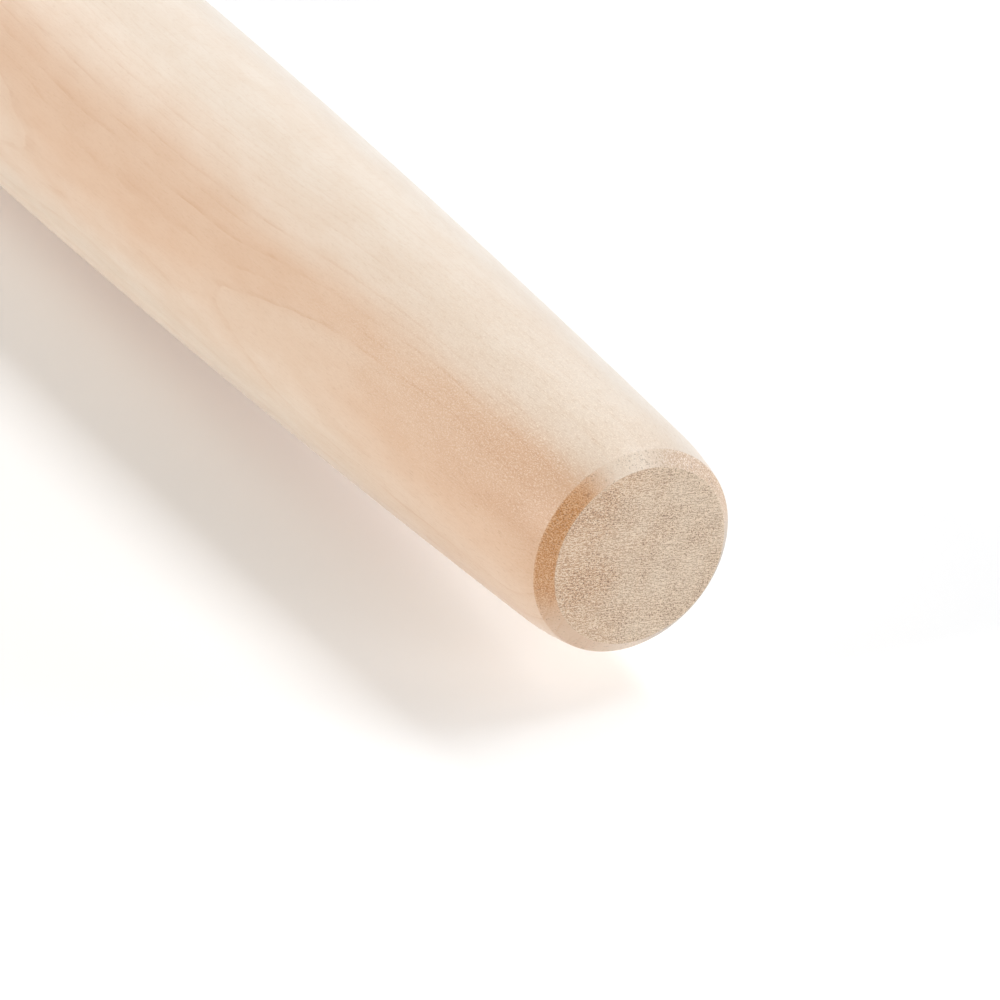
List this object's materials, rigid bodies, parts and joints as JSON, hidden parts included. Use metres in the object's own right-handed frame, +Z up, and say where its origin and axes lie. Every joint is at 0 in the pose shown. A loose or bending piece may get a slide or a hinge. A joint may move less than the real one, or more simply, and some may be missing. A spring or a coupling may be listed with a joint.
{
  "type": "tapered rolling pin",
  "caption": "Handleless rolling pin turned from one piece of pale maple, with a short straight barrel, two long tapers, narrow chamfers and flat ends.",
  "frame": {"origin": "middle of the pin, on its turning axis", "axes": "+X along the turning axis towards one end, +Z up as the pin lies on a table; the pin is round, so +Y and +Z could be any two directions square to +X"},
  "size_m": [0.508, 0.0444, 0.0445],
  "materials": {
    "maple": "fine-sanded pale maple with a dry, lightly oiled surface; end grain greyer and duller than the sides"
  },
  "bodies": {
    "root": {"rolling_pin": "maple"}
  },
  "joints": []
}
